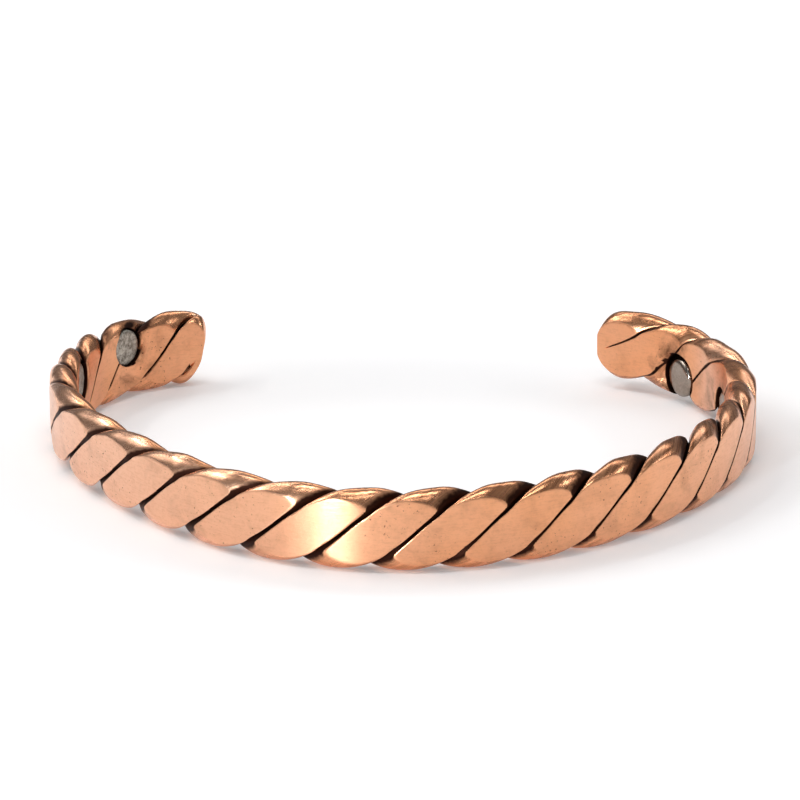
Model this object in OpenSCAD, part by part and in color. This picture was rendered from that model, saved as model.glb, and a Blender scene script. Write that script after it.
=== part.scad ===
// Open wrist cuff of three copper wires, twisted together, rolled flat and bent to an oval,
// with the wires soldered into one piece at each tip and round magnets let into the inner face.
// The cuff lies on its edge: front towards -Y, mouth towards +Y, floor at z = 0.

/* [Cuff] */
// Length of the metal along its middle line, from tip to tip
cuff_len = 150.4; // [135:0.1:170]
// Turn of the metal from tip to tip, in degrees: more closes the mouth
cuff_turn = 344.6; // [325:0.2:355]

/* [Band] */
// Height of the band from crest to crest
band_h = 7.5; // [6.5:0.1:9]
// Thickness of the band between its rolled faces
band_t = 2.6; // [2.2:0.1:3.4]
// Share of a strand's radius at which the rollers cut it flat
flat_level = 1.03; // [0.95:0.01:1.1]

/* [Twist] */
// Length along the band in which a strand makes one full turn, on average
pitch = 18.34; // [15:0.01:24]
// Turn of the whole twist at the left tip, in degrees
twist_start = -55.51; // [-60:0.01:60]
// Clear gap between neighbouring strands
strand_gap = 0.08; // [0.04:0.01:0.2]

/* [Tips] */
// Length of each soldered tip
tip_len = 4.9; // [4:0.1:8]
// Clear gap between a tip and the ends of the strands
tip_gap = 0.08; // [0.04:0.01:0.2]
// Length over which the end of the left tip rounds off
left_round = 2.6; // [1:0.1:3.5]
// Length over which the end of the right tip rounds off
right_round = 3.2; // [1:0.1:3.5]
// Lean of the left tip's end, in degrees: its lower corner is cut back
left_lean = 10; // [0:1:20]
// Length over which both ends thin to an edge
edge_round = 0.7; // [0.3:0.1:1.2]

/* [Magnets] */
// Diameter of a magnet
magnet_d = 3.6; // [3:0.1:4]
// Clear gap round a magnet in its seat
seat_gap = 0.35; // [0.2:0.05:0.6]
// Depth of a magnet's face under the inner face of the band
magnet_sink = 0.15; // [0:0.05:0.3]
// Depth of a seat, as a share of a strand's thickness
seat_share = 0.8; // [0.7:0.05:0.85]
// Distance of the first left magnet from the left tip
left_first = 9.7; // [8.5:0.1:12]
// Distance of the second left magnet from the left tip
left_second = 20.2; // [15:0.1:24]
// Height of the left magnets over the middle of the band
left_rise = 1.1; // [0:0.1:1.4]
// Distance of the first right magnet from the right tip
right_first = 10.5; // [8.5:0.1:12]
// Distance of the second right magnet from the right tip
right_second = 19.8; // [15:0.1:24]
// Depth of the right magnets under the middle of the band
right_drop = 1.4; // [0:0.1:1.6]

/* [Hidden] */
copper = "#c98761";
steel = "#a6a29b";
// Bend and twist of the band: a row for each station, as its share of the length from the left
// tip. Both are shares of their mean: the ends bend most and the sides least, and the left end
// is twisted tighter than the rest.
AT = 0;
BEND = 1;
TWIST = 2;
stations = [
    [0.0, 2.70, 1.35],
    [0.1, 1.25, 1.27],
    [0.2, 0.90, 0.80],
    [0.3, 0.27, 0.80],
    [0.4, 0.87, 0.94],
    [0.5, 1.08, 1.05],
    [0.6, 0.80, 0.99],
    [0.7, 0.60, 0.95],
    [0.8, 0.86, 1.14],
    [0.9, 1.20, 0.86],
    [1.0, 1.70, 1.04]];
// Strands, and the angle between neighbours round the middle of the band
strands = 3;
lay_angle = 360 / strands;
// Angle of the first strand where the twist starts: a groove is then on top
first_angle = 90 - lay_angle / 2;
// In the sections below, a strand is a circle of radius 1 whose centre stands at orbit
orbit = 1 / sin(lay_angle / 2);
x_scale = band_t / 2 / flat_level;
y_scale = band_h / 2 / (orbit + 1);
strand_r = 1 - strand_gap / 2 / x_scale;
// Smallest half-angle of a strand's flat, so that every section has as many points
least_flat = 10;
// Points on a rounded side of a strand, between two flats
round_steps = 5;
// Sections of a strand in one turn
turn_steps = 24;
// Points round a tip, and sections along it
tip_points = 36;
tip_steps = 14;
// Radius of the soldered section, where the grooves have closed
fused_r = 2.02;
// Share of the tip over which the grooves close, and exponent of how late they do
fade_share = 0.85;
fade_power = 2;
// Exponent of the round end: 2 is an ellipse and more is squarer
left_power = 2.4;
right_power = 2.1;
edge_power = 2;
// Size of the blunt face that is left at the very end of a tip, as a share of its section
end_face = 0.15;
// Steps of the running sums along the middle line
path_steps = 300;
// Chamfer of a magnet's face, clear gap under a magnet, and reach of the seats' drill out of
// the inner face
magnet_edge = 0.2;
seat_floor_gap = 0.05;
seat_reach = 3;
// Sides of a round piece
round_fn = 32;
mid_z = band_h / 2;
half_len = cuff_len / 2;

// Middle line: bend and twist are running sums of their columns, scaled to the whole turn and
// to the mean pitch, and the position is the running sum of the heading's direction
function share(v) = min(max(v, 0), 1);
function column(k) = [for (row = stations) [row[AT], row[k]]];
function sums(table) = [for (i = 0, sum = 0; i <= path_steps;
    sum = sum + lookup((i + 0.5) / path_steps, table) / path_steps, i = i + 1)
    [i / path_steps, sum]];
bend_sums = sums(column(BEND));
twist_sums = sums(column(TWIST));
function from_middle(s, table) =
    (lookup(s / cuff_len + 0.5, table) - lookup(0.5, table)) / lookup(1, table);
function heading(s) = cuff_turn * from_middle(s, bend_sums);
// The twist has a whole number of turns and a spare part of one, the same at any length, so that
// the tips and the seats meet the strands alike
spare_turn = 0.2007;
turns = round(cuff_len / pitch - spare_turn) + spare_turn;
function twist(s) = twist_start + first_angle
    + 360 * turns * (from_middle(s, twist_sums) - from_middle(-half_len, twist_sums));
path_step = cuff_len / path_steps;
function from_left(i) = (i - path_steps / 2) * path_step;
path = [for (i = 0, p = [0, 0]; i <= path_steps;
    p = p + path_step * [cos(heading(from_left(i + 0.5))), sin(heading(from_left(i + 0.5)))],
    i = i + 1) p];
path_x = [for (i = [0:path_steps]) [from_left(i), path[i].x]];
path_y = [for (i = [0:path_steps]) [from_left(i), path[i].y]];
function outwards(s) = [sin(heading(s)), -cos(heading(s))];
// The middle of the outer face's box stands over the origin
outer_face = [for (i = [0:path_steps]) path[i] + band_t / 2 * outwards(from_left(i))];
function mid_of(values) = (min(values) + max(values)) / 2;
box_mid = [mid_of([for (p = outer_face) p.x]), mid_of([for (p = outer_face) p.y])];
function middle(s) = [lookup(s, path_x), lookup(s, path_y)] - box_mid;

// Place in space of a section point: x outwards from the wrist and y up, in millimetres
function place(s, point) =
    let (p = middle(s) + point.x * outwards(s)) [p.x, p.y, mid_z + point.y];

// Section of a strand whose centre stands at an angle: a circle cut off at the rolled faces
function flat_angle(centre_x) =
    acos(min(max((flat_level - centre_x) / strand_r, -1), cos(least_flat)));
function strand_angles(right, left) = concat(
    [for (i = [0:round_steps]) right + (180 - left - right) * i / round_steps],
    [for (i = [0:round_steps]) 180 + left + (180 - right - left) * i / round_steps]);
function strand_section(angle) =
    let (centre = orbit * [cos(angle), sin(angle)])
    [for (a = strand_angles(flat_angle(centre.x), flat_angle(-centre.x)))
        [x_scale * (centre.x + strand_r * cos(a)), y_scale * (centre.y + strand_r * sin(a))]];

// Section of a tip: the outline of the three strands in a direction, filled out to the
// soldered radius as fill goes from 0 to 1, and cut off at the rolled faces
function outline_r(off) = orbit * cos(off) + sqrt(max(1 - pow(orbit * sin(off), 2), 0));
function from_strand(direction, angle) =
    let (turn = (direction - angle) / lay_angle) (turn - round(turn)) * lay_angle;
function tip_r(direction, angle, fill) =
    let (open_r = outline_r(from_strand(direction, angle)))
    open_r + fill * (max(fused_r, open_r) - open_r);
function cut_flat(x) = min(max(x, -flat_level), flat_level);
function tip_section(angle, fill, wide, high) = [for (i = [0:tip_points - 1])
    let (d = angle + 360 * i / tip_points, r = tip_r(d, angle, fill))
    [wide * x_scale * cut_flat(r * cos(d)), high * y_scale * r * sin(d)]];
function end_share(from_end, length, power) =
    pow(max(1 - pow(1 - share(from_end / length), power), 0), 1 / power);

// Solid that joins a list of rings, each with as many points, and closes both ends with a fan
// of triangles round the ring's middle
function sum_of(points, i = 0) = i == len(points) ? [0, 0, 0] : points[i] + sum_of(points, i + 1);
module loft(rings) {
    sides = len(rings[0]);
    last = len(rings) - 1;
    start_mid = (last + 1) * sides;
    points = concat([for (ring = rings) each ring],
        [sum_of(rings[0]) / sides, sum_of(rings[last]) / sides]);
    walls = [for (i = [0:last - 1], j = [0:sides - 1])
        let (a = i * sides + j, b = i * sides + (j + 1) % sides)
        each [[a, a + sides, b], [b, a + sides, b + sides]]];
    caps = [for (j = [0:sides - 1])
        let (a = j, b = (j + 1) % sides)
        each [[start_mid, a, b], [start_mid + 1, last * sides + b, last * sides + a]]];
    polyhedron(points, concat(walls, caps), convexity = 10);
}

// Each magnet's place: distance along the band from the middle of the front, and height over
// the middle of the band
seat_places = [
    [left_first - half_len, left_rise],
    [left_second - half_len, left_rise],
    [half_len - right_first, -right_drop],
    [half_len - right_second, -right_drop]];

// Stands its children at a magnet's place, with +Z pointing from the wrist into the band
module at_seat(seat) {
    s = seat_places[seat][0];
    centre = middle(s);
    translate([centre.x, centre.y, mid_z + seat_places[seat][1]])
        rotate([0, 0, heading(s)])
            rotate([90, 0, 0])
                children();
}
// A strand's thickness under the middle of its flat: a seat is never deeper, so it cuts
// through no strand
strand_back = x_scale * (flat_level - orbit + strand_r);
seat_depth = seat_share * strand_back;
magnet_t = seat_depth - magnet_sink - seat_floor_gap;
module seats() {
    for (seat = [0:len(seat_places) - 1])
        at_seat(seat)
            translate([0, 0, -band_t / 2 - seat_reach])
                cylinder(h = seat_reach + seat_depth, d = magnet_d + 2 * seat_gap, $fn = round_fn);
}

module strand(number) {
    run = half_len - tip_len - tip_gap;
    steps = ceil(2 * run / pitch * turn_steps);
    color(copper)
        difference() {
            loft([for (i = [0:steps])
                let (s = -run + 2 * run * i / steps)
                [for (p = strand_section(twist(s) + number * lay_angle)) place(s, p)]]);
            seats();
        }
}

module tip(side, round_len, power, lean) {
    color(copper)
        loft([for (i = [0:tip_steps])
            let (t = side > 0 ? 1 - i / tip_steps : i / tip_steps,
                from_end = tip_len * (1 - cos(90 * t)),
                s = side * (half_len - from_end),
                fill = pow(share((1 - from_end / tip_len) / fade_share), fade_power),
                wide = max(end_share(from_end, edge_round, edge_power), end_face),
                high = max(end_share(from_end, round_len, power), end_face),
                back = side * tan(lean) * (1 - from_end / tip_len))
            [for (p = tip_section(twist(s), fill, wide, high)) place(s - back * (mid_z - p.y), p)]]);
}

module magnet(seat) {
    color(steel)
        at_seat(seat)
            translate([0, 0, -band_t / 2 + magnet_sink])
                rotate_extrude($fn = round_fn)
                    polygon([[0, 0], [magnet_d / 2 - magnet_edge, 0], [magnet_d / 2, magnet_edge],
                        [magnet_d / 2, magnet_t], [0, magnet_t]]);
}

strand(0);  // strand_1
strand(1);  // strand_2
strand(2);  // strand_3
tip(-1, left_round, left_power, left_lean);  // left_tip
tip(1, right_round, right_power, 0);  // right_tip
magnet(0);  // left_magnet_1
magnet(1);  // left_magnet_2
magnet(2);  // right_magnet_1
magnet(3);  // right_magnet_2
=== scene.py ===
"""Magnetic bracelet: three copper wires twisted together, rolled flat on both faces, bent to an
open oval and soldered at the tips, with small round magnets let into the inner face. Lengths are
millimetres along the band and across it, and become metres in the meshes."""
from collections import namedtuple
import bpy
import numpy as np
from mathutils import Matrix, Vector


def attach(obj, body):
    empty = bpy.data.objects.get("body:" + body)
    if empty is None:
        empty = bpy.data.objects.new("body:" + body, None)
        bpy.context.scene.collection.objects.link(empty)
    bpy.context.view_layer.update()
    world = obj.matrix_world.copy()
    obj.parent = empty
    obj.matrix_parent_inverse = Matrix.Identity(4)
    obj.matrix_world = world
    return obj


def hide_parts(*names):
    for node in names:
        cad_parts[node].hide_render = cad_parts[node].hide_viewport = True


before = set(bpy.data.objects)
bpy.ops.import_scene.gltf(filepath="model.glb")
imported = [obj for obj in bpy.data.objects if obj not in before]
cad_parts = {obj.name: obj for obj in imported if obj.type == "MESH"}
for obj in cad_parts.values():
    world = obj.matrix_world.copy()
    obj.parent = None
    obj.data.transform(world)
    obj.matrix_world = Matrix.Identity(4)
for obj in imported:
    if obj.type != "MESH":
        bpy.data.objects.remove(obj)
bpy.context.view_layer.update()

MM = 0.001
CUFF_LEN = 150.4
CUFF_TURN = np.radians(344.6)
BAND_H = 7.5
BAND_T = 2.6
HALF_T = BAND_T / 2
MID_Z = BAND_H / 2
HALF_LEN = CUFF_LEN / 2
TIP_LEN = 4.9

# The twist: its mean pitch, the angle of the first wire at the middle of the front, and the angle
# from one wire to the next
PITCH = 18.34
TWIST_START = np.radians(14.3)
LAY = 2 * np.pi / 3
WIRES = 3

# Bend and twist at eleven even stations from the left tip, as shares of their means
STATIONS = np.linspace(0, 1, 11)
BEND = np.array([2.70, 1.25, 0.90, 0.27, 0.87, 1.08, 0.80, 0.60, 0.86, 1.20, 1.70])
TWIST = np.array([1.35, 1.27, 0.80, 0.80, 0.94, 1.05, 0.99, 0.95, 1.14, 0.86, 1.04])

# Unevenness of the twist: at each s, degrees by which it runs ahead, averaged over so many places
UNEVEN_AT = [-75.2, -74.5, -73.5, -71.9, -70.4, -68.5, -67.2, -64, -61, -55, -48, -42, -37, -30,
             -20, -10, 0, 12, 20, 27, 31, 36, 48, 56, 60, 63, 65.8, 70.6, 72, 74, 75.2]
AHEAD = [34, 30, 22, 8, 9, -2, -13, -34, -34, -18, 6, 0, 1, 9,
         13, 9, 6, 3, 5, -2, -4, 2, -10, -22, -34, -27, 4, 6, 2, -20, -32]
AVERAGED = 101

# Section of the braid as two ovals, through the crests and through the grooves, cut off at the
# rolled faces with a crease of this width. Between them the skin falls with a power of the angle
# from the wire's crest. The rolled faces bow by BOW times the height squared.
CREST_X, CREST_Y = 2.02, MID_Z
GROOVE_X, GROOVE_Y = 1.62, 2.82
GROOVE_POWER = 2.3
CREASE = 0.035
BOW = 0.003

# Wandering of hand work: rates in radians a millimetre, how many radians the slow one drifts, and
# shares of the crests and of the faces
SLOW_RATE, DRIFT_RATE, FAST_RATE = 0.83, 0.31, 1.91
DRIFT = 2.3
CREST_WANDER = 0.012
FACE_WANDER = 0.004

# Slits between the wires: half width at each s, depth, how steeply the sides fall, how much wider
# they are on the round edges, how much solder narrows them at the right, and where they end: this
# far from the tips, over a length
SLIT_AT = [-75, -62, -36, 2, 16, 50, 75]
SLIT_HALF = [0.14, 0.10, 0.18, 0.16, 0.10, 0.09, 0.08]
SLIT_DEPTH = 0.42
SLIT_POWER = 2.5
SLIT_WIDER = 1.1
SLIT_NARROWED = 0.75
SLIT_END = 1.0
SLIT_FADE = 0.7

# The right tip stands a little higher than the rest, is a little narrower and is flatter. It rises
# from this place on, over this length.
RIGHT_FROM, RIGHT_OVER = 60, 11
RIGHT_LIFT = 0.52
RIGHT_NARROW = 0.065
RIGHT_FLATTER = 0.65

# Magnets and their pockets: distance along the band from the middle of the front, height over the
# band's middle, radius, and the turn of both out of the inner face in degrees
Seat = namedtuple("Seat", "s rise radius hole_s hole_rise hole_radius turn")
SEATS = {
    "left_magnet_1": Seat(9.75 - HALF_LEN, 1.35, 1.74, 9.75 - HALF_LEN, 1.43, 1.87, 5),
    "left_magnet_2": Seat(20.2 - HALF_LEN, 0.9, 1.74, 20.2 - HALF_LEN, 0.95, 2.05, 0),
    "right_magnet_1": Seat(HALF_LEN - 9.9, -1.15, 1.92, HALF_LEN - 10.2, -1.05, 2.35, -9),
    "right_magnet_2": Seat(HALF_LEN - 19.8, -1.4, 1.8, HALF_LEN - 19.8, -1.35, 1.95, 0),
}

# Profiles of the discs: distance in from the rim, and depth under the inner face
FLAT_DISC = [(1.5, 0.27), (0.28, 0.26), (0.14, 0.28), (0.03, 0.35), (0, 0.46), (0, 0.84),
             (0.1, 0.9), (1.5, 0.9)]
ROUND_DISC = [(1.5, 0.14), (0.9, 0.15), (0.6, 0.17), (0.42, 0.21), (0.28, 0.27), (0.16, 0.35),
              (0.07, 0.45), (0.01, 0.58), (0, 0.7), (0, 0.84), (0.1, 0.9), (1.5, 0.9)]
# Profile of the drill for a pocket: distance out from the wall, and depth
DRILL = [(1.0, -1.2), (0.08, -0.02), (0, 0.07), (0, 0.88), (-0.12, 1.0)]
ROUND_STEPS = 96

# Tips: side, length past the end of the solids, length and power of the rounding seen from the
# inner face, and lean of the end in degrees
Tip = namedtuple("Tip", "side more round_len power lean")
TIPS = {"left_tip": Tip(-1, 0.3, 2.9, 2.4, 13), "right_tip": Tip(1, 0.1, 3.1, 2.3, 0)}
NO_TIP = Tip(0, 0, 1, 1, 0)
# Length over which a tip's end is rounded towards its outer and its inner face
OUTER_EDGE, INNER_EDGE = 1.7, 0.16
# The grooves are full of solder past this share of the tip
FULL_AT = 0.85
# Rings of a tip inside the wires: how far in, and how much smaller
INSIDE = [0.03, 0.5]
SMALLER = [0.97, 0.85]
# A rounding leaves at least this share of the section
LEAST = 0.02

# Meshes: rows along and columns across a wire and a tip, and the angle of a sharp edge
WIRE_ROWS, WIRE_COLUMNS = 920, 92
TIP_ROWS, TIP_COLUMNS = 90, 84
SHARP = np.radians(40)
# Share of its third that a wire's skin fills, and the steps down its planes to the middle
WIRE_SHARE = 0.9985
DOWN = np.array([[0.75, 0.4, 0.03]])
# Crowding of the columns beside the grooves, by angle, and at the edges of the faces, by distance:
# height and half width of the peak of their density, which is summed at so many places
GROOVE_CROWD = (7, 0.06)
EDGE_CROWD = (4, 0.09)
SUMMED_AT = 901


def running_sum(values, steps):
    """Running sum of the mean of neighbouring values times their steps, from zero."""
    return np.concatenate([[0], np.cumsum((values[1:] + values[:-1]) / 2 * steps)])


# Even places along the band, about 0.025 mm apart. The columns below have one value for each.
ALONG = np.linspace(-HALF_LEN, HALF_LEN, 6001)
STEP = ALONG[1] - ALONG[0]


def from_middle(column):
    """Share of a column's running sum between the middle of the front and each place."""
    sums = running_sum(np.interp(ALONG / CUFF_LEN + 0.5, STATIONS, column), STEP)
    return (sums - np.interp(0, ALONG, sums)) / sums[-1]


def averaged(values):
    """The mean of the values round each one, with the first and last repeated past the ends."""
    padded = np.pad(values, AVERAGED // 2, "edge")
    return np.convolve(padded, np.full(AVERAGED, 1 / AVERAGED), "valid")


HEADING = CUFF_TURN * from_middle(BEND)
TIP_HEADING = np.interp(HALF_LEN - TIP_LEN, ALONG, HEADING)
HEADING = HEADING - RIGHT_FLATTER * np.maximum(HEADING - TIP_HEADING, 0)
ANGLE = TWIST_START + 2 * np.pi * CUFF_LEN / PITCH * from_middle(TWIST)
ANGLE = ANGLE + np.radians(averaged(np.interp(ALONG, UNEVEN_AT, AHEAD)))
LINE = np.stack([running_sum(np.cos(HEADING), STEP), running_sum(np.sin(HEADING), STEP)], 1)
OUTWARDS = np.stack([np.sin(HEADING), -np.cos(HEADING)], 1)
SKIN = LINE + HALF_T * OUTWARDS
LINE = LINE - (SKIN.max(0) + SKIN.min(0)) / 2


def at(s, column):
    """The value at s of a column that goes with ALONG."""
    return np.interp(s, ALONG, column)


def step(value, start, length):
    """A straight step: 0 up to start, and 1 from a length past it."""
    return np.clip((value - start) / length, 0, 1)


def right_end(s):
    """Smooth step over the last part of the band before the right tip: 3 t squared less 2 t cubed
    of a straight step t."""
    t = step(s, RIGHT_FROM, RIGHT_OVER)
    return t * t * (3 - 2 * t)


def place(s, x, y):
    """Points in metres: the middle line at s, which runs on straight past its ends, then x
    outwards from the wrist and y up."""
    h = at(s, HEADING)
    over = s - np.clip(s, -HALF_LEN, HALF_LEN)
    y = y * (1 - RIGHT_NARROW * right_end(s)) + RIGHT_LIFT * right_end(s)
    return MM * np.stack([at(s, LINE[:, 0]) + x * np.sin(h) + over * np.cos(h),
                          at(s, LINE[:, 1]) - x * np.cos(h) + over * np.sin(h),
                          MID_Z + y + 0 * x], -1)


def band_place(points):
    """The reverse of place: s from the bearing of a point round the oval, then mended three
    times by how far the point lies ahead of the section at s."""
    p = points[:, :2] / MM
    bearing = np.unwrap(np.arctan2(LINE[:, 0], -LINE[:, 1]))
    s = np.interp(np.arctan2(p[:, 0], -p[:, 1]), bearing, ALONG)
    for _ in range(3):
        h = at(s, HEADING)
        gap = p - np.stack([at(s, LINE[:, 0]), at(s, LINE[:, 1])], 1)
        s = np.clip(s + gap[:, 0] * np.cos(h) + gap[:, 1] * np.sin(h), -HALF_LEN, HALF_LEN)
    y = points[:, 2] / MM - MID_Z - RIGHT_LIFT * right_end(s)
    return s, gap[:, 0] * np.sin(h) - gap[:, 1] * np.cos(h), y / (1 - RIGHT_NARROW * right_end(s))


def soft_min(a, b, width):
    """The smaller of two values, with the corner between them rounded over width."""
    return -width * np.logaddexp(-a / width, -b / width)


def from_wire(angle, s):
    """Angle from the crest of the nearest wire, round the middle of the braid."""
    return (angle - at(s, ANGLE) + LAY / 2) % LAY - LAY / 2


def wander(s, angle):
    """A slow unevenness between -1 and 1: half the sine of s at a slow rate that itself drifts,
    and half the sine of s at a fast one."""
    slow = np.sin(SLOW_RATE * s + DRIFT * np.sin(DRIFT_RATE * s) + angle)
    return 0.5 * slow + 0.5 * np.sin(FAST_RATE * s - angle)


def before_rolling(angle, s, fill):
    """Section before the rolled faces cut it: a point of the crest oval, drawn in towards the
    groove oval by a power of the angle from the crest. fill is 1 where solder fills the
    grooves."""
    fall = (np.abs(from_wire(angle, s)) / (LAY / 2)) ** GROOVE_POWER * (1 - fill)
    uneven = CREST_WANDER * wander(s, angle)
    x = (CREST_X * (1 + 2 * uneven) + (GROOVE_X - CREST_X) * fall) * np.cos(angle)
    y = (CREST_Y * (1 + uneven * (np.sin(angle) > 0)) + (GROOVE_Y - CREST_Y) * fall) * np.sin(angle)
    return x, y


def slit_line(angle, s, fill):
    """Point of the section where two wires meet on the skin, no further out than the faces."""
    x, y = before_rolling(angle, s, fill)
    return np.sign(x) * np.minimum(np.abs(x), HALF_T), y


def skin(angle, s, fill=0, shut=0):
    """Section of the braid at s: the ovals cut off at the rolled faces, less a slit along each
    line where two wires press on each other. The slit's depth falls with the distance from that
    line as exp(-(distance / half width) ** SLIT_POWER), and shut closes it."""
    x, y = before_rolling(angle, s, fill)
    face = HALF_T * (1 + FACE_WANDER * wander(s, 0)) - BOW * y ** 2
    x = np.sign(x) * soft_min(np.abs(x), face, CREASE)
    off = from_wire(angle, s)
    line_x, line_y = slit_line(angle - off + np.where(off < 0, -0.5, 0.5) * LAY, s, fill)
    beside = np.hypot(x - line_x, y - line_y)
    half = np.interp(s, SLIT_AT, SLIT_HALF) * (1 - SLIT_NARROWED * fill * (s > 0))
    half = half * (1 + SLIT_WIDER * np.sin(angle) ** 2)
    depth = (1 - shut) * SLIT_DEPTH * np.exp(-(beside / half) ** SLIT_POWER)
    inwards = 1 - depth / np.hypot(x, y)
    return x * inwards, y * inwards


def crowd(distance, peak):
    """Density round a place: height / (1 + (distance / half width) ** 2)."""
    height, half_width = peak
    return height / (1 + (distance / half_width) ** 2)


def spread(s, wire_angle, count):
    """Angles across one wire, for each s a row: even, but closer beside the grooves and at the
    edges of the rolled faces. Each row is the reverse of the running sum of a density that has a
    peak at each of them."""
    off = np.linspace(-LAY / 2, LAY / 2, SUMMED_AT)[None, :]
    x, _ = before_rolling(wire_angle[:, None] + off, s[:, None], 0)
    density = 1 + crowd(np.abs(off) - LAY / 2, GROOVE_CROWD) + crowd(np.abs(x) - HALF_T, EDGE_CROWD)
    sums = np.cumsum(density, 1)
    sums = (sums - sums[:, :1]) / (sums[:, -1:] - sums[:, :1])
    rows = 2 * np.arange(len(s))[:, None]
    wanted = rows + np.linspace(0, 1, count)[None, :]
    fine = np.broadcast_to(off, sums.shape)
    return np.interp(wanted.ravel(), (sums + rows).ravel(), fine.ravel()).reshape(wanted.shape)


def sheet_of_rings(rings, start, end):
    """Faces that join rings of points, and close each end with a fan round one more point."""
    count, around = rings.shape[:2]
    i = np.arange(count - 1)[:, None] * around
    j = np.arange(around)[None, :]
    k = (j + 1) % around
    walls = np.stack([i + j, i + k, i + around + k, i + around + j], -1).reshape(-1, 4)
    last = (count - 1) * around
    tail = count * around
    j, k = j.ravel(), k.ravel()
    fans = np.concatenate([np.stack([k, j, 0 * j + tail], -1),
                           np.stack([last + j, last + k, 0 * j + tail + 1], -1)])
    points = np.concatenate([rings.reshape(-1, 3), [start, end]])
    return points, walls.tolist() + fans.tolist()


def new_piece(name, points, faces):
    """A smooth mesh of points and faces, with its sharp edges marked, in the scene."""
    mesh = bpy.data.meshes.new(name)
    mesh.from_pydata(points.tolist(), [], faces)
    mesh.shade_smooth()
    mesh.set_sharp_from_angle(angle=SHARP)
    piece = bpy.data.objects.new(name, mesh)
    bpy.context.scene.collection.objects.link(piece)
    return piece


def piece_of_rings(name, rings):
    """A piece whose skin joins the rings, with a fan round the mean of the first and the last."""
    return new_piece(name, *sheet_of_rings(rings, rings[0].mean(0), rings[-1].mean(0)))


def wire_piece(name, number):
    """One wire: for each s, the skin between the two grooves beside it, then down the planes
    where it presses on its neighbours to the middle of the braid."""
    run = HALF_LEN - TIP_LEN
    s = np.linspace(run, -run, WIRE_ROWS)
    wire_angle = at(s, ANGLE) + number * LAY
    angle = wire_angle[:, None] + spread(s, wire_angle, WIRE_COLUMNS) * WIRE_SHARE
    x, y = skin(angle, s[:, None])
    x = np.concatenate([x, x[:, -1:] * DOWN, x[:, :1] * DOWN[:, 1::-1]], 1)
    y = np.concatenate([y, y[:, -1:] * DOWN, y[:, :1] * DOWN[:, 1::-1]], 1)
    return piece_of_rings(name, place(s[:, None], x, y))


def rounded(from_end, length, power):
    """Share of full size near an end that rounds off as a superellipse, and never quite 0."""
    t = 1 - np.clip(from_end / length, 0, 1)
    return np.maximum(np.maximum(1 - t ** power, 0) ** (1 / power), LEAST)[:, None]


def leaned(s, y, tip):
    """How far the lean of a tip's end carries a point along the band: it grows with the nearness
    of the end and with the distance under the top."""
    near = np.clip(1 - (HALF_LEN + tip.more - tip.side * s) / (TIP_LEN + tip.more), 0, 1)
    return -tip.side * np.tan(np.radians(tip.lean)) * near * (MID_Z - y)


def tip_piece(name, tip):
    """A soldered tip: the skin of all three wires in one sheet. Its grooves fill up towards the
    end and the sheet rounds off there. It starts a little inside the wires, so no seam shows."""
    t = np.linspace(0, 1, TIP_ROWS)
    whole = TIP_LEN + tip.more
    from_end = np.concatenate([whole * (1 - np.cos(np.pi / 2 * t)), whole + np.array(INSIDE)])
    inner = np.concatenate([1 + 0 * t, SMALLER])[:, None]
    s = tip.side * (HALF_LEN + tip.more - from_end)
    wires = [at(s, ANGLE) + number * LAY for number in range(WIRES)]
    angle = np.concatenate([w[:, None] + spread(s, w, TIP_COLUMNS)[:, :-1] for w in wires], 1)
    near = np.clip(1 - from_end / whole, 0, 1)[:, None]
    fill = np.minimum(near / FULL_AT, 1) ** 2
    shut = 1 - step(from_end, SLIT_END, SLIT_FADE)[:, None]
    x, y = skin(angle, s[:, None], fill, shut)
    outer_round = rounded(from_end, OUTER_EDGE, 2)
    inner_round = rounded(from_end, INNER_EDGE, 2)
    x = x * inner * np.where(x > 0, outer_round, inner_round)
    y = y * inner * rounded(from_end, tip.round_len, tip.power)
    rings = place(s[:, None] + leaned(s[:, None], y, tip), x, y)
    return piece_of_rings(name, rings if tip.side > 0 else rings[::-1])


def lathe(profile, s, rise, turned):
    """A profile of (radius, depth) turned round the axis of a magnet's seat, which points from
    the wrist into the band. Depth is measured from the inner face."""
    radius, depth = np.array(profile).T[:, :, None, None]
    turn = np.linspace(0, 2 * np.pi, ROUND_STEPS, endpoint=False)[None, :, None]
    h = at(s, HEADING)
    centre = np.array([at(s, LINE[:, 0]), at(s, LINE[:, 1]), MID_Z + rise])
    centre = centre - HALF_T * np.array([np.sin(h), -np.cos(h), 0])
    h = h + np.radians(turned)
    tangent = np.array([np.cos(h), np.sin(h), 0])
    out = np.array([np.sin(h), -np.cos(h), 0])
    up = np.array([0, 0, 1.0])
    rings = centre + depth * out + radius * (np.cos(turn) * tangent + np.sin(turn) * up)
    ends = [(centre + depth[i, 0, 0] * out) * MM for i in (0, -1)]
    return sheet_of_rings(rings * MM, *ends)


def cut_pockets(piece):
    """Drills the magnets' pockets out of a wire: a round hole with a small chamfer at the face."""
    group = bpy.data.collections.new("drills")
    drills = []
    for seat in SEATS.values():
        profile = [(seat.hole_radius + out, depth) for out, depth in DRILL]
        drill = new_piece("drill", *lathe(profile, seat.hole_s, seat.hole_rise, seat.turn))
        drills.append(drill)
        group.objects.link(drill)
    cut = piece.modifiers.new("pockets", "BOOLEAN")
    cut.operation = "DIFFERENCE"
    cut.operand_type = "COLLECTION"
    cut.collection = group
    cut.solver = "MANIFOLD"
    graph = bpy.context.evaluated_depsgraph_get()
    mesh = bpy.data.meshes.new_from_object(piece.evaluated_get(graph))
    piece.modifiers.clear()
    piece.data = mesh
    mesh.materials.clear()
    mesh.set_sharp_from_angle(angle=SHARP)
    for drill in drills:
        bpy.data.objects.remove(drill)
    bpy.data.collections.remove(group)


# Marks on the points that the finishes read. Far is further than any tarnish comes.
FAR = 9.0
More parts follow.
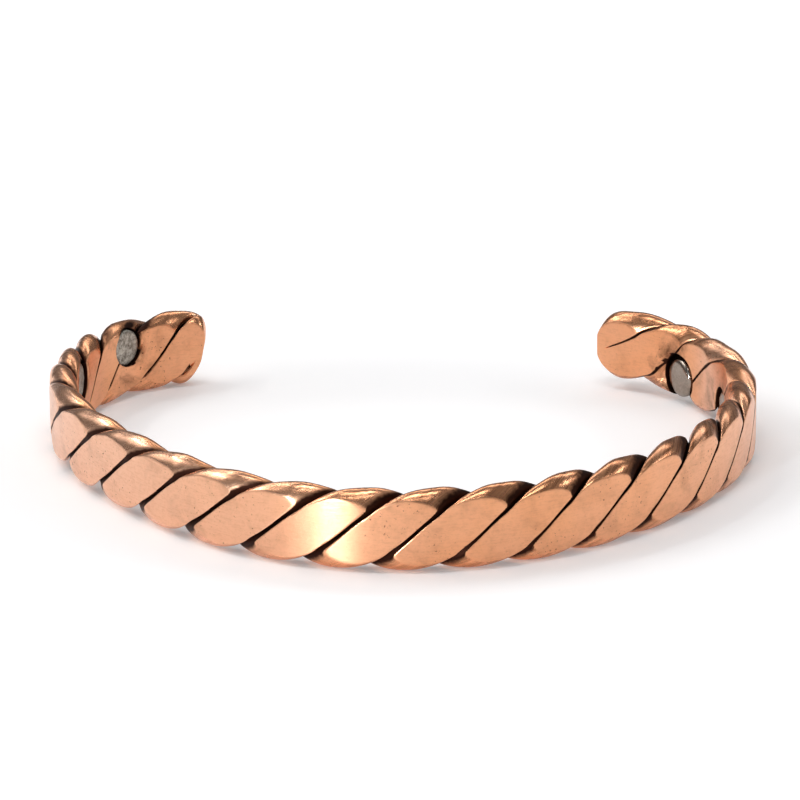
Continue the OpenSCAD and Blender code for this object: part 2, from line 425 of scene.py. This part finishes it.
# Where a slit lies between two crests: halfway, less a hair, so that it belongs to the first
BETWEEN_WIRES = 0.4999
# The slits are clean past this place, over a length
CLEAN_FROM, CLEAN_OVER = HALF_LEN - SLIT_END - 0.4, 0.5
# Dark patch on the wire over the first left magnet, coloured like a slit: place along the band and
# height, its length and height, and how near to a slit its edge counts
NOTCH_AT, NOTCH_Y = -66.3, 3.3
NOTCH_LEN, NOTCH_H = 1.4, 0.4
NOTCH_NEAR = 0.2
# The finish of the rolled faces starts this far under them, and that of the filed end faces this
# far before the end, each over a length
ROLLED_UNDER, ROLLED_OVER = 0.1, 0.05
FILED_BEFORE, FILED_OVER = 0.2, 0.15
# A seat's wall, which is painted dark as shade, is within this distance of its radius, and between
# these heights in the band
WALL = 0.12
WALL_FROM, WALL_TO = 0.03 - HALF_T, 0.3
# Stain round a magnet: its strength at the rim, and the length over which it fades
STAIN, STAIN_OVER = 1.2, 2.5
# How far tarnish comes out of the slits: on the faces, and further on the flanks that face the
# grooves, where the extra reach is painted shade. Above the middle the flank's share goes by the
# place along the band. Towards the right tip the reach tapers to a share.
REACH, FLANK_SHADE_REACH = 0.2, 0.2
UPPER_SHADE_AT, UPPER_SHADE_REACH = [-40, -10, 8, 40], [0.3, 0.4, 1.1, 1.1]
LOWER_SHADE_REACH = 0.6
SHADED_FLANK_WIDTH = 0.5
TAPER = 0.4
# Silvery film: place and width of the patch on the right of the inner face. Along the outer face
# the same pale tone is painted sheen near the left lamp's highlight, with this strength along the
# band
FILM_AT, FILM_WIDTH = 59, 2.5
OUTER_SHEEN_AT, PAINTED_OUTER_SHEEN = [-30, -12, -3, 24, 36], [1, 0.6, 0, 0, 0.5]
# Brown of the crests along the band
DULL_AT, DULL = [-60, -50, -20, 15], [0.6, 0.2, 0.25, 1]
# The mark lay runs from minus this to this across one wire
LAY_ACROSS = 3


def slit_distance(s, x, y):
    """Distance in millimetres from the nearest slit: from its line on the skin, or, between that
    line and the middle of the braid, from the plane that the slit is sunk along."""
    nearest = np.full(len(s), FAR)
    for number in range(WIRES):
        line_x, line_y = slit_line(at(s, ANGLE) + (number + BETWEEN_WIRES) * LAY, s, 0)
        length = np.hypot(line_x, line_y)
        level = (x * line_x + y * line_y) / length
        aside = np.abs(x * line_y - y * line_x) / length
        from_line = np.hypot(x - line_x, y - line_y)
        nearest = np.minimum(nearest, np.where((level > 0) & (level < length), aside, from_line))
    return nearest + np.clip((np.abs(s) - CLEAN_FROM) / CLEAN_OVER, 0, FAR)


def give_materials(mesh, rolled):
    """The second material for each face whose corners have a mean rolled of less than half."""
    corners = np.empty(len(mesh.loops), int)
    mesh.loops.foreach_get("vertex_index", corners)
    starts = np.empty(len(mesh.polygons), int)
    mesh.polygons.foreach_get("loop_start", starts)
    sizes = np.diff(np.append(starts, len(corners)))
    shares = np.add.reduceat(rolled[corners], starts) / sizes
    mesh.materials.append(ROLLED_COPPER)
    mesh.materials.append(ROUND_COPPER)
    mesh.polygons.foreach_set("material_index", (shares < 0.5).astype(int))


def mark(piece, tip=NO_TIP):
    """Marks each point. groove is the distance from the nearest slit or notch, and reach how far
    tarnish comes out of it; on the flanks beside the grooves the reach is widened as painted shade.
    rolled is 1 on the rolled and the filed faces, the seat mark is 1 on the wall of a magnet's
    seat, painted dark as shade, and stain fades out from there, dull is the brown of the crests,
    pale is a silvery film on the inner face and painted sheen on the outer face, and lay is the
    place along the band and round the wire."""
    mesh = piece.data
    flat = np.empty(len(mesh.vertices) * 3)
    mesh.vertices.foreach_get("co", flat)
    points = flat.reshape(-1, 3)
    upright, x, y = band_place(points)
    s = upright
    # The lean goes by s itself, so s is mended four times
    for _ in range(4):
        s = upright - leaned(s, y, tip)
    notch = np.hypot((s - NOTCH_AT) / NOTCH_LEN, (y - NOTCH_Y) / NOTCH_H) * NOTCH_NEAR
    groove = np.minimum(slit_distance(s, x, y), notch + (x > NOTCH_NEAR))
    rolled = np.maximum(step(np.abs(x), HALF_T - ROLLED_UNDER, ROLLED_OVER),
                        step(np.abs(s), HALF_LEN - FILED_BEFORE, FILED_OVER))
    pocket_shade = np.zeros(len(s))
    stain = np.zeros(len(s))
    for seat in SEATS.values():
        above = points[:, 2] / MM - MID_Z - seat.hole_rise
        past = np.hypot(s - seat.hole_s, above) - seat.hole_radius
        # The wall of each magnet's seat is marked to be painted dark as shade
        pocket_shade = np.maximum(pocket_shade, (past < WALL) * (x > WALL_FROM) * (x < WALL_TO))
        stain = np.maximum(stain, np.clip(STAIN - past / STAIN_OVER, 0, 1) * (x < 0))
    off = from_wire(np.arctan2(y / CREST_Y, x / CREST_X), s) / (LAY / 2)
    # Painted shade on the flanks: above the middle on one side of each wire, below it on the other
    shaded_flank = np.clip(np.where(y > 0, -off, off) / SHADED_FLANK_WIDTH, 0, 1) * (1 - rolled)
    flank_shade = np.where(y > 0, np.interp(s, UPPER_SHADE_AT, UPPER_SHADE_REACH), LOWER_SHADE_REACH)
    taper = np.clip((HALF_LEN - s) / TIP_LEN, TAPER, 1)
    film = (x < 0) * np.exp(-((s - FILM_AT) / FILM_WIDTH) ** 2)
    values = {"groove": groove, "rolled": rolled * (1 - pocket_shade), "pocket_shade": pocket_shade, "stain": stain,
              "reach": (REACH + shaded_flank * (FLANK_SHADE_REACH + flank_shade)) * taper,
              "dull": (1 - rolled) * np.interp(s, DULL_AT, DULL),
              "film_and_sheen": film + (x > 0) * np.interp(s, OUTER_SHEEN_AT, PAINTED_OUTER_SHEEN)}
    for name, value in values.items():
        mesh.attributes.new(name, "FLOAT", "POINT").data.foreach_set("value", value)
    lay = np.stack([s, LAY_ACROSS * off, 0 * s], 1)
    mesh.attributes.new("lay", "FLOAT_VECTOR", "POINT").data.foreach_set("vector", lay.ravel())
    give_materials(mesh, rolled)


def tree_with(tree, kind, values=(), **settings):
    """A new node of a kind, with socket values by name or number and its own settings."""
    made = tree.nodes.new(kind)
    for key, value in settings.items():
        setattr(made, key, value)
    for key, value in dict(values).items():
        made.inputs[key].default_value = value
    return made


def feed(tree, socket, value):
    """Gives a socket a number or a colour, or links it to another node's output."""
    if isinstance(value, (int, float, tuple)):
        socket.default_value = value
    else:
        tree.links.new(value, socket)


def new_group(name, inputs, outputs):
    """A shader node group with named inputs and outputs: (name, default) and name."""
    tree = bpy.data.node_groups.new(name, "ShaderNodeTree")
    for label, default in inputs:
        kind = "NodeSocketVector" if isinstance(default, tuple) else "NodeSocketFloat"
        socket = tree.interface.new_socket(name=label, in_out="INPUT", socket_type=kind)
        socket.default_value = default
    for label in outputs:
        tree.interface.new_socket(name=label, in_out="OUTPUT", socket_type="NodeSocketFloat")
    return tree, tree.nodes.new("NodeGroupInput").outputs, tree.nodes.new("NodeGroupOutput").inputs


def maths(tree, operation, a, b=None, c=None, clamp=False):
    """A math node whose inputs are numbers or other nodes' outputs. Returns its output."""
    made = tree_with(tree, "ShaderNodeMath", operation=operation, use_clamp=clamp)
    for slot, value in enumerate((a, b, c)):
        if value is not None:
            feed(tree, made.inputs[slot], value)
    return made.outputs[0]


def ramp(tree, value, low, high, to_low=0.0, to_high=1.0):
    """A smooth step of value from low to high, put between two results."""
    made = tree_with(tree, "ShaderNodeMapRange", {"From Min": low, "From Max": high,
                                                  "To Min": to_low, "To Max": to_high},
                     interpolation_type="SMOOTHSTEP")
    tree.links.new(value, made.inputs["Value"])
    return made.outputs["Result"]


def blend_colours(tree, factor, first, second):
    """A mix of two colours, each a colour or a node's output."""
    made = tree_with(tree, "ShaderNodeMix", data_type="RGBA", clamp_factor=True)
    for slot, value in ((0, factor), (6, first), (7, second)):
        feed(tree, made.inputs[slot], value)
    return made.outputs[2]


def noise(tree, vector, scale, detail=2.0, rough=0.5, warp=0.0):
    """Noise on a vector, with scale in features a metre."""
    made = tree_with(tree, "ShaderNodeTexNoise",
                     {"Scale": scale, "Detail": detail, "Roughness": rough, "Distortion": warp})
    tree.links.new(vector, made.inputs["Vector"])
    return made.outputs["Fac"]


def even_noise(tree, vector, scale, detail=2.0, rough=0.5, warp=0.0):
    """The same noise, less half, so that it lies round zero."""
    return maths(tree, "SUBTRACT", noise(tree, vector, scale, detail, rough, warp), 0.5)


def stretched(tree, vector, scale):
    """A vector with each of its parts times its own scale."""
    made = tree_with(tree, "ShaderNodeMapping", {"Scale": scale})
    tree.links.new(vector, made.inputs["Vector"])
    return made.outputs[0]


def distance_of(tree, vector):
    """Length of a vector."""
    made = tree_with(tree, "ShaderNodeVectorMath", operation="LENGTH")
    tree.links.new(vector, made.inputs[0])
    return made.outputs["Value"]


def patina_group():
    """Brown tarnish: full in the slits, thinning out over Reach millimetres with a ragged edge, and
    lying in faint clouds over the whole surface. Where Reach is widened on the flanks, the same
    mask paints shade. The mask is a smooth step down of Groove over Reach plus noise, or a smooth
    step up of slower noise times Clouds."""
    tree, given, result = new_group("patina", [("Place", (0.0, 0.0, 0.0)), ("Groove", 1.0),
                                               ("Reach", 0.5), ("Clouds", 0.1)], ["Mask"])
    ragged = noise(tree, given["Place"], scale=1800, detail=4, rough=0.6)
    shift = maths(tree, "MULTIPLY_ADD", ragged, 0.6, -0.3)
    far = maths(tree, "ADD", maths(tree, "DIVIDE", given["Groove"], given["Reach"]), shift)
    deep = ramp(tree, far, 0.45, 1.2, to_low=1.0, to_high=0.0)
    cloud = noise(tree, given["Place"], scale=330, detail=5, rough=0.65, warp=0.4)
    thin = maths(tree, "MULTIPLY", ramp(tree, cloud, 0.44, 0.8), given["Clouds"])
    tree.links.new(maths(tree, "MAXIMUM", deep, thin, clamp=True), result["Mask"])
    return tree


def wear_group():
    """Small marks of wear: pits from Voronoi cells of which few are deep, hair scratches where
    warped noise is near its middle, and fine grain. Height is in the same unit as the bump."""
    tree, given, result = new_group("wear", [("Place", (0.0, 0.0, 0.0)), ("Pits", 0.5),
                                             ("Grain", 0.2)], ["Height", "Spots"])
    cells = tree_with(tree, "ShaderNodeTexVoronoi", {"Scale": 1000.0, "Randomness": 1.0})
    tree.links.new(given["Place"], cells.inputs["Vector"])
    chosen = tree_with(tree, "ShaderNodeSeparateColor")
    tree.links.new(cells.outputs["Color"], chosen.inputs[0])
    few = ramp(tree, chosen.outputs[0], 0.8, 0.9)
    dot = ramp(tree, cells.outputs["Distance"], 0.02, 0.1, to_low=1.0, to_high=0.0)
    spots = maths(tree, "MULTIPLY", dot, few)
    grain = even_noise(tree, given["Place"], scale=9000, detail=3, rough=0.6)
    scratch = even_noise(tree, given["Place"], scale=1500, detail=2, rough=0.5, warp=2.0)
    hair = ramp(tree, maths(tree, "ABSOLUTE", scratch), 0.0, 0.006, to_low=1.0, to_high=0.0)
    height = maths(tree, "MULTIPLY", grain, given["Grain"])
    height = maths(tree, "SUBTRACT", height, maths(tree, "MULTIPLY", spots, given["Pits"]))
    height = maths(tree, "MULTIPLY_ADD", hair, -0.05, height)
    tree.links.new(height, result["Height"])
    tree.links.new(spots, result["Spots"])
    return tree


def wire_lines_group():
    """Lines along the wire: noise that changes fast round the wire and slowly along it, at two
    sizes. Brush is a fine grain that runs level, round zero."""
    tree, given, result = new_group("wire_lines", [("Lay", (0.0, 0.0, 0.0)),
                                                   ("Place", (0.0, 0.0, 0.0)), ("Lines", 0.3)],
                                    ["Height", "Brush"])
    drawn = stretched(tree, given["Lay"], (0.08, 7.0, 1.0))
    ridged = stretched(tree, given["Lay"], (0.05, 1.4, 1.0))
    lines = maths(tree, "ADD", even_noise(tree, drawn, scale=1.0, detail=2, rough=0.6),
                  even_noise(tree, ridged, scale=1.0, detail=0))
    level = stretched(tree, given["Place"], (900.0, 900.0, 7000.0))
    brush = even_noise(tree, level, scale=1.0, detail=3, rough=0.6)
    tree.links.new(maths(tree, "MULTIPLY", lines, given["Lines"]), result["Height"])
    tree.links.new(brush, result["Brush"])
    return tree


PATINA = patina_group()
WEAR = wear_group()
WIRE_LINES = wire_lines_group()


def use(tree, group, **values):
    """Places a group in a material. Values are numbers or other nodes' outputs."""
    made = tree.nodes.new("ShaderNodeGroup")
    made.node_tree = group
    for key, value in values.items():
        feed(tree, made.inputs[key], value)
    return made.outputs


def new_finish(name):
    """A new material: itself, its tree, its shader and the place on the object."""
    made = bpy.data.materials.new(name)
    made.use_nodes = True
    tree = made.node_tree
    place_node = tree.nodes.new("ShaderNodeTexCoord")
    return made, tree, tree.nodes["Principled BSDF"], place_node.outputs["Object"]


def read_mark(tree, name, output="Fac"):
    """A mark of the mesh, as a number or a vector."""
    return tree_with(tree, "ShaderNodeAttribute", attribute_name=name).outputs[output]


def bump_from(tree, shader, height, strength, distance):
    """Bends the shader's normal by a height."""
    bump = tree_with(tree, "ShaderNodeBump", {"Strength": strength, "Distance": distance})
    tree.links.new(height, bump.inputs["Height"])
    tree.links.new(bump.outputs["Normal"], shader.inputs["Normal"])


COPPER = (0.93, 0.43, 0.215, 1)
ROSY_COPPER = (0.93, 0.455, 0.25, 1)
# Pale copper: a silvery film on the inner face, and painted sheen on the outer face
FILM_AND_SHEEN_COPPER = (0.92, 0.53, 0.35, 1)
BROWNED_COPPER = (0.42, 0.175, 0.085, 1)
FLECK_COLOUR = (0.62, 0.27, 0.15, 1)
POCK_COLOUR = (0.33, 0.12, 0.06, 1)
SPOT_COLOUR = (0.20, 0.08, 0.05, 1)
# Near black: tarnish in the slits, and painted shade on the flanks and on the walls of the magnets'
# seats
TARNISH_AND_SHADE_COLOUR = (0.03, 0.010, 0.006, 1)
# Roughness of the round parts, how much more the rolled faces and the tarnish have, and how much
# it varies in clouds and with the brush
ROUND_ROUGH, ROLLED_ROUGHER, TARNISH_ROUGHER = 0.26, 0.08, 0.25
CLOUD_ROUGH, BRUSH_ROUGH = 0.14, 0.2
# Share of the wear that the round parts keep, of the brush in the bump, and of the lines in it
ROUND_WEAR, BRUSH_HEIGHT, LINE_HEIGHT = 0.05, 0.25, 0.3
# Brown of the crests: how much it follows the lines, and how much it has without them
BROWN_LINES, BROWN = 2.6, 0.36


def copper_colour(tree, here, lines, spots, tarnish_and_shade_mask):
    """Colour of the copper: two tones in clouds, paler with a silvery film on the inner face and
    painted sheen on the outer face, brown along the lines with the mark dull, then flecks, pocks in
    clusters, spots, and near-black tarnish and painted shade by the mask."""
    rosy = ramp(tree, noise(tree, here, scale=120, detail=3, rough=0.6), 0.3, 0.7)
    metal = blend_colours(tree, rosy, COPPER, ROSY_COPPER)
    # Paler copper: a silvery film on the inner face, and painted sheen on the outer face
    metal = blend_colours(tree, read_mark(tree, "film_and_sheen"), metal, FILM_AND_SHEEN_COPPER)
    browned = maths(tree, "MULTIPLY_ADD", lines["Height"], BROWN_LINES, BROWN)
    browned = maths(tree, "MULTIPLY", browned, read_mark(tree, "dull"), clamp=True)
    metal = blend_colours(tree, browned, metal, BROWNED_COPPER)
    fleck = maths(tree, "ADD", noise(tree, here, scale=3600, detail=4, rough=0.7), lines["Brush"])
    metal = blend_colours(tree, ramp(tree, fleck, 0.38, 0.85, to_high=0.32), metal, FLECK_COLOUR)
    pock = ramp(tree, noise(tree, here, scale=4200), 0.66, 0.72)
    cluster = ramp(tree, noise(tree, here, scale=170), 0.42, 0.62)
    metal = blend_colours(tree, maths(tree, "MULTIPLY", pock, cluster), metal, POCK_COLOUR)
    metal = blend_colours(tree, maths(tree, "MULTIPLY", spots, 0.9), metal, SPOT_COLOUR)
    return blend_colours(tree, tarnish_and_shade_mask, metal, TARNISH_AND_SHADE_COLOUR)


def copper_finish(name, brushed):
    """Polished copper: satin rolled faces, smoother round crests with lines along the wire, and
    brown tarnish in the slits, with painted shade on the flanks beside them and on the walls of the
    magnets' seats. brushed is how far the reflections are smeared."""
    made, tree, shader, here = new_finish(name)
    rolled = read_mark(tree, "rolled")
    tarnish_and_flank_shade = use(tree, PATINA, Place=here, Groove=read_mark(tree, "groove"),
                  Reach=read_mark(tree, "reach"),
                  Clouds=maths(tree, "MULTIPLY_ADD", read_mark(tree, "stain"), 0.62, 0.2))
    wear = use(tree, WEAR, Place=here, Pits=0.6, Grain=0.12)
    lines = use(tree, WIRE_LINES, Lay=read_mark(tree, "lay", "Vector"), Place=here, Lines=0.8)
    # Tarnish, with painted shade on the flanks and on the walls of the magnets' seats
    tarnish_and_shade_mask = maths(tree, "MAXIMUM", tarnish_and_flank_shade["Mask"], read_mark(tree, "pocket_shade"), clamp=True)
    colour = copper_colour(tree, here, lines, wear["Spots"], tarnish_and_shade_mask)
    tree.links.new(colour, shader.inputs["Base Color"])

    on_flat = maths(tree, "MULTIPLY_ADD", rolled, 1 - ROUND_WEAR, ROUND_WEAR)
    satin = maths(tree, "MULTIPLY_ADD", rolled, ROLLED_ROUGHER, ROUND_ROUGH)
    cloudy = even_noise(tree, here, scale=900, detail=4, rough=0.6)
    cloudy = maths(tree, "MULTIPLY", cloudy, CLOUD_ROUGH)
    cloudy = maths(tree, "MULTIPLY_ADD", lines["Brush"], BRUSH_ROUGH, cloudy)
    satin = maths(tree, "MULTIPLY_ADD", cloudy, on_flat, satin)
    satin = maths(tree, "MULTIPLY_ADD", tarnish_and_shade_mask, TARNISH_ROUGHER, satin, clamp=True)
    tree.links.new(satin, shader.inputs["Roughness"])
    shader.inputs["Metallic"].default_value = 1.0
    shader.inputs["Anisotropic"].default_value = brushed
    shader.inputs["Anisotropic Rotation"].default_value = 0.25

    height = maths(tree, "MULTIPLY_ADD", lines["Brush"], BRUSH_HEIGHT, wear["Height"])
    height = maths(tree, "MULTIPLY", height, on_flat)
    round_part = maths(tree, "MULTIPLY", maths(tree, "SUBTRACT", 1.0, rolled), LINE_HEIGHT)
    height = maths(tree, "MULTIPLY_ADD", lines["Height"], round_part, height)
    bump_from(tree, shader, height, strength=0.6, distance=0.00006)
    return made


PLATE_SPOT_COLOUR = (0.08, 0.06, 0.05, 1)
# How much the roughness of the plate varies
PLATE_UNEVEN = 0.2


def magnet_finish(name, dark, light, rough, mottle):
    """Nickel plate over a magnet: grey, mottled with stains and finely scratched. mottle is half
    the width of the step of the noise from the dark colour to the light one."""
    made, tree, shader, here = new_finish(name)
    wear = use(tree, WEAR, Place=here, Pits=0.5, Grain=0.3)
    stain = noise(tree, here, scale=1900, detail=5, rough=0.85, warp=0.6)
    colour = blend_colours(tree, ramp(tree, stain, 0.5 - mottle, 0.5 + mottle), dark, light)
    colour = blend_colours(tree, wear["Spots"], colour, PLATE_SPOT_COLOUR)
    tree.links.new(colour, shader.inputs["Base Color"])
    uneven = noise(tree, here, scale=2200, detail=3, rough=0.6)
    uneven = maths(tree, "MULTIPLY_ADD", uneven, PLATE_UNEVEN, rough - PLATE_UNEVEN / 2)
    tree.links.new(uneven, shader.inputs["Roughness"])
    shader.inputs["Metallic"].default_value = 1.0
    bump_from(tree, shader, wear["Height"], strength=0.5, distance=0.00005)
    return made


# The sweep's oval under the band, as one over its half axes in metres. The floor's glow is least
# along it, a painted shadow.
PAINTED_SHADOW_OVAL = (30.0, 37.0, 0.0)


def floor_finish():
    """White sweep that glows as painted light: matt, with a faint tooth. Its glow is a smooth step
    of how far a point lies inside or outside the oval under the band, plus one of its distance from
    the middle, so it is least under the band, a painted shadow, and most far away."""
    made, tree, shader, here = new_finish("white_sweep")
    tooth = noise(tree, here, scale=900, detail=3, rough=0.6)
    colour = blend_colours(tree, tooth, (0.92, 0.91, 0.915, 1), (0.95, 0.945, 0.95, 1))
    tree.links.new(colour, shader.inputs["Base Color"])
    oval = distance_of(tree, stretched(tree, here, PAINTED_SHADOW_OVAL))
    beside = maths(tree, "ABSOLUTE", maths(tree, "SUBTRACT", oval, 1.0))
    # Painted light: the glow dims in a ring under the band as painted shadow and brightens further
    # out
    glow = maths(tree, "ADD", ramp(tree, beside, 0.08, 0.5, to_low=0.16, to_high=0.25),
                 ramp(tree, distance_of(tree, here), 0.045, 0.14, to_high=0.5))
    tree.links.new(blend_colours(tree, glow, (0, 0, 0, 1), (1, 1, 1, 1)),
                   shader.inputs["Emission Color"])
    shader.inputs["Emission Strength"].default_value = 1.0
    shader.inputs["Roughness"].default_value = 0.7
    shader.inputs["Specular IOR Level"].default_value = 0.2
    return made


ROLLED_COPPER = copper_finish("rolled_copper", brushed=0.8)
ROUND_COPPER = copper_finish("round_copper", brushed=0.0)
MATT_MAGNET = magnet_finish("mottled_nickel", dark=(0.13, 0.11, 0.09, 1),
                            light=(0.60, 0.57, 0.50, 1), rough=0.5, mottle=0.16)
GLOSSY_MAGNET = magnet_finish("glossy_nickel", dark=(0.24, 0.195, 0.16, 1),
                              light=(0.38, 0.32, 0.27, 1), rough=0.2, mottle=0.25)


for number, name in enumerate(("strand_1", "strand_2", "strand_3")):
    wire = wire_piece("wire_" + str(number + 1), number)
    cut_pockets(wire)
    mark(wire)
    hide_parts(name)
    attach(wire, "root")

for name, shape in TIPS.items():
    tip = tip_piece("soldered_" + name, shape)
    mark(tip, shape)
    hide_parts(name)
    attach(tip, "root")

for name, seat in SEATS.items():
    left = name.startswith("left")
    profile = [(seat.radius - inset, depth) for inset, depth in (FLAT_DISC if left else ROUND_DISC)]
    disc = new_piece("plated_" + name, *lathe(profile, seat.s, seat.rise, seat.turn))
    disc.data.materials.append(MATT_MAGNET if left else GLOSSY_MAGNET)
    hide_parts(name)
    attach(disc, "root")

# The sweep under and behind the cuff, in metres
floor_points = np.array([[-2, -2, 0], [2, -2, 0], [2, 3, 0], [-2, 3, 0]], float)
floor = new_piece("floor", floor_points, [[0, 1, 2, 3]])
floor.data.materials.append(floor_finish())


def softbox(name, place_m, size, watts, colour=(1, 1, 1)):
    """A soft light aimed at the middle of the cuff, with its place and its two sides in metres."""
    light = bpy.data.lights.new(name, "AREA")
    light.shape = "RECTANGLE"
    light.size, light.size_y = size
    light.energy = watts
    light.color = colour
    held = bpy.data.objects.new(name, light)
    held.location = place_m
    held.rotation_mode = "QUATERNION"
    held.rotation_quaternion = (-Vector(place_m)).to_track_quat("-Z", "Y")
    bpy.context.scene.collection.objects.link(held)


softbox("softbox_over", (0.02, -0.12, 0.66), (0.34, 0.10), 0.9)
softbox("softbox_front", (0.02, -0.42, 0.54), (0.46, 0.04), 0.4)
softbox("softbox_left", (-0.365, -0.71, 0.085), (0.042, 0.15), 3.7, (0.78, 0.9, 1))
softbox("softbox_upper_left", (-0.50, 0.04, 0.46), (0.60, 0.36), 0.8)
softbox("strip_left", (-0.44, 0.05, 0.46), (0.36, 0.03), 0.5)
softbox("softbox_high_left", (-0.30, 0.20, 0.66), (0.30, 0.04), 0.45)
softbox("softbox_right", (0.60, 0.08, 0.34), (0.30, 0.05), 0.4)
softbox("softbox_back", (0.05, 0.50, 0.62), (1.00, 0.16), 1.4)

world = bpy.data.worlds.new("studio")
world.use_nodes = True
world.node_tree.nodes["Background"].inputs["Color"].default_value = (0.17, 0.17, 0.173, 1)
world.node_tree.nodes["Background"].inputs["Strength"].default_value = 1.0
bpy.context.scene.world = world
bpy.context.scene.view_settings.view_transform = "Standard"

# The camera: where it stands and looks, in metres, and its roll
STAND = Vector((0.02771887, -0.44467235, 0.15415685))
TARGET = Vector((-0.00078155, 0.01777952, 0.00095354))
ROLL = -0.0099
camera = bpy.data.cameras.new("camera")
camera.lens = 229.3
camera.sensor_width = 36
camera.clip_start = 0.01
held = bpy.data.objects.new("camera", camera)
turn = (TARGET - STAND).to_track_quat("-Z", "Y").to_matrix().to_4x4()
held.matrix_world = Matrix.Translation(STAND) @ turn @ Matrix.Rotation(ROLL, 4, "Z")
bpy.context.scene.collection.objects.link(held)
bpy.context.scene.camera = held
